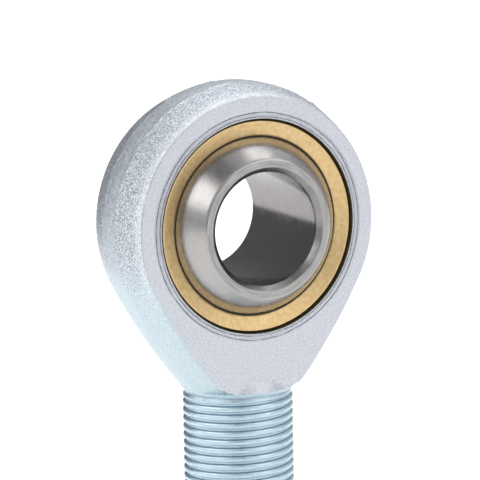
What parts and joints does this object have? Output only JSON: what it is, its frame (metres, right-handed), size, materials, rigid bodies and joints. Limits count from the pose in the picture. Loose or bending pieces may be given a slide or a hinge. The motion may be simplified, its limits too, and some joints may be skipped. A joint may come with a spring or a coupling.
{
  "type": "rod end bearing",
  "caption": "Male rod end: forged eye and threaded shank, with a lined brass race and a bored steel ball that spins and tilts.",
  "frame": {"origin": "centre of the ball, in the middle of its bore", "axes": "+Y along the bore, towards the back face; -Z along the shank, towards its tip; +X to the right of the front face"},
  "size_m": [0.05, 0.025, 0.103],
  "materials": {
    "zinc_plated_steel": "zinc plated forging, satin",
    "race_brass": "turned, satin",
    "sliding_liner": "matte",
    "bearing_steel": "ground and polished"
  },
  "bodies": {
    "housing": {"rod_end_body": "zinc_plated_steel", "outer_race": "race_brass"},
    "liner": {"liner": "sliding_liner"},
    "ball": {"ball": "bearing_steel"}
  },
  "joints": [
    {"name": "ball_spin", "type": "hinge", "parent": "housing", "child": "liner", "pos_m": [0, 0, 0], "axis": [0, 1, 0], "continuous": true},
    {"name": "ball_tilt", "type": "hinge", "parent": "liner", "child": "ball", "pos_m": [0, 0, 0], "axis": [1, 0, 0], "range_deg": [-14, 14]}
  ]
}
